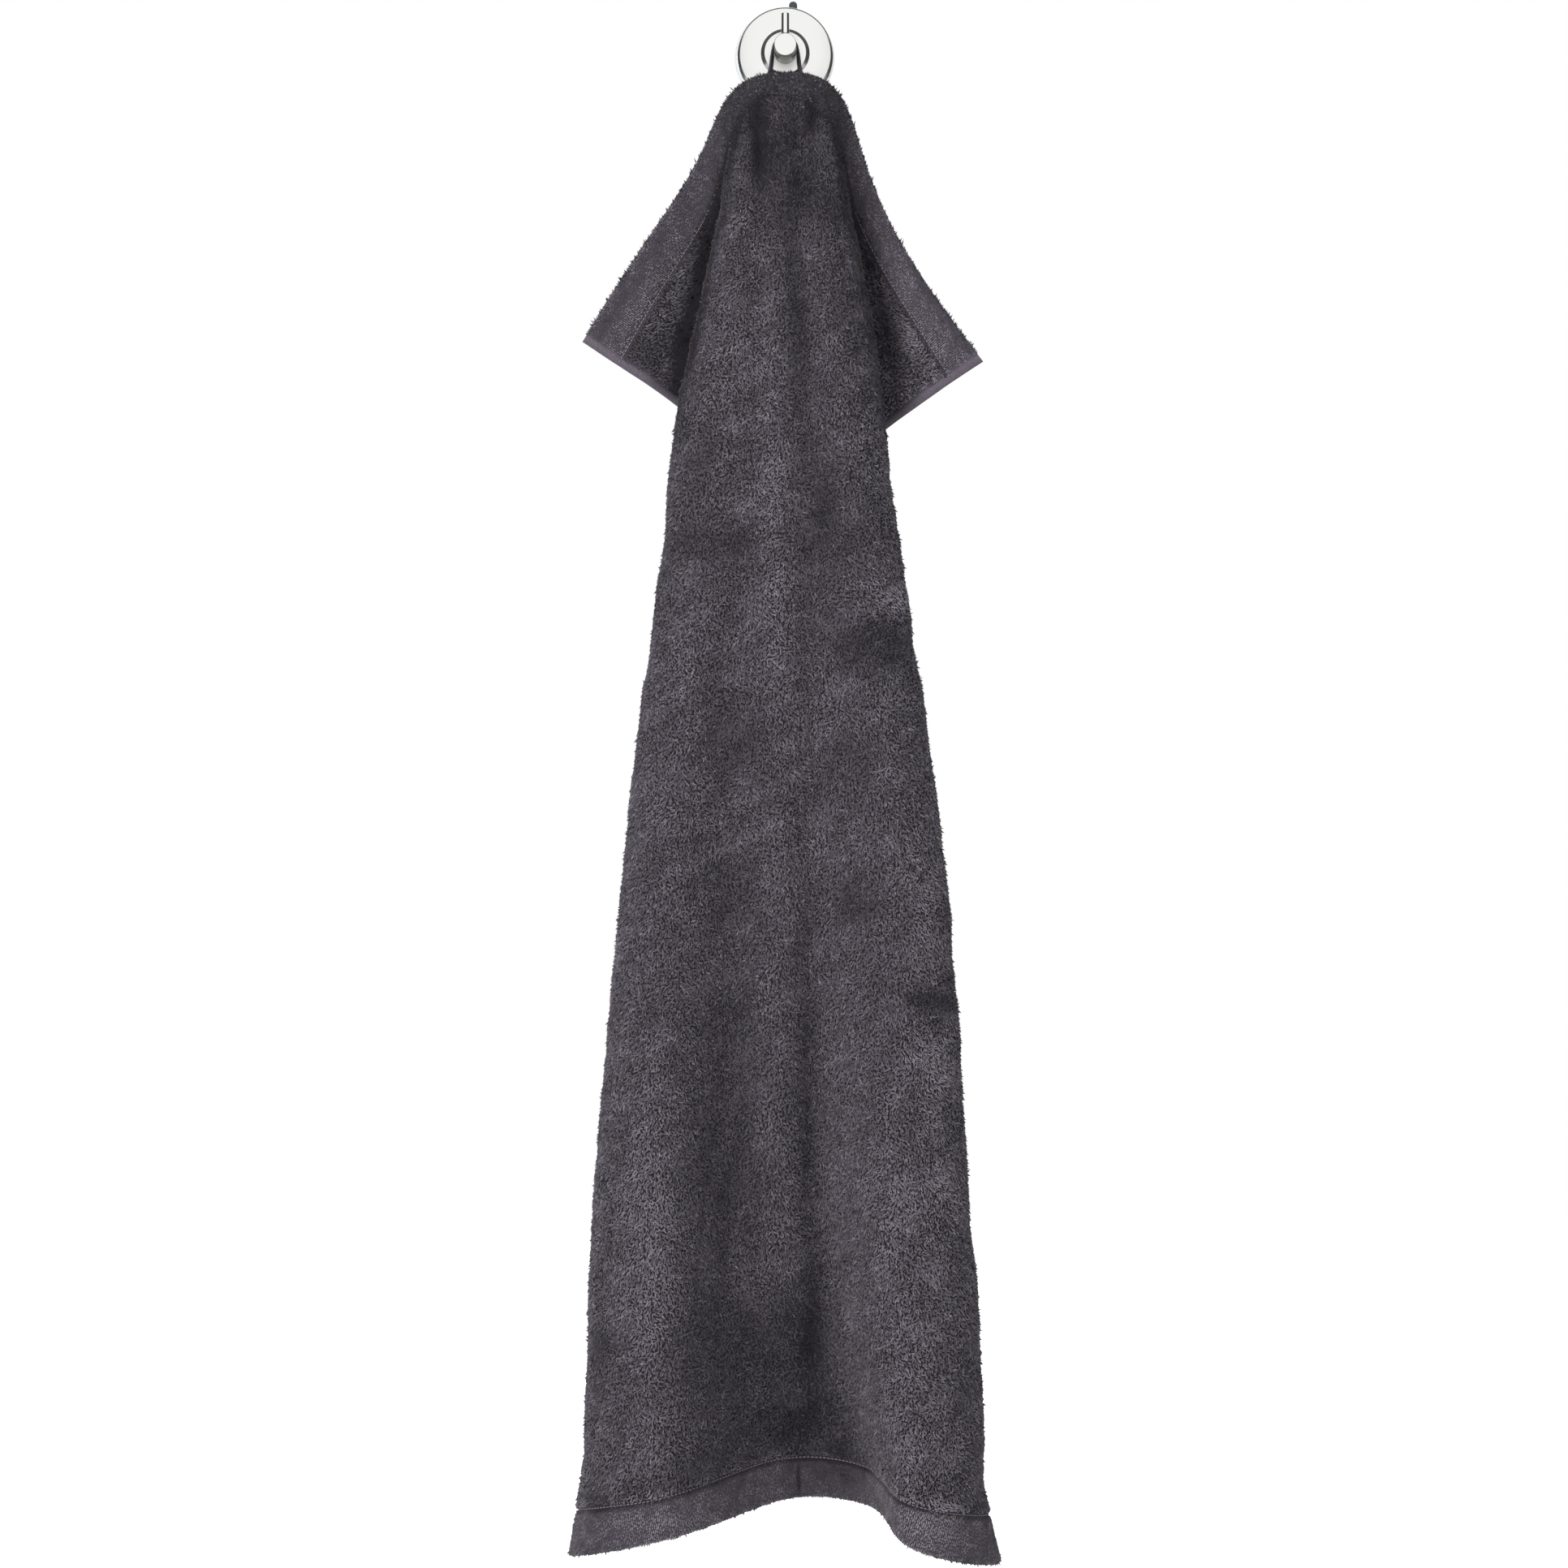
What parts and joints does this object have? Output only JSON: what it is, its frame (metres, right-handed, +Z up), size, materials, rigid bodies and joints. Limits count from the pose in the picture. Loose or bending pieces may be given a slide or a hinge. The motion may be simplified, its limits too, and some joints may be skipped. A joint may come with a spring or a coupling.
{
  "type": "hand towel on a wall hook",
  "caption": "Anthracite terry hand towel hanging in soft folds by its sewn loop from the post of a round brushed steel suction hook.",
  "frame": {"origin": "centre of the hook's flat back, in the wall's plane", "axes": "+Z up, +Y into the wall, so the towel hangs in front at negative Y; +X to the right of someone facing it"},
  "size_m": [0.3043, 0.1013, 1.1053],
  "materials": {
    "terry": "matte",
    "tape": "matte",
    "steel": "satin",
    "clear": "gloss",
    "black": "satin"
  },
  "bodies": {
    "root": {"towel_cloth": "terry", "hanging_loop": "tape", "suction_disc": "clear", "release_tab": "black", "flange_cover": "steel", "hook_post": "steel", "post_pin": "steel"}
  },
  "joints": []
}
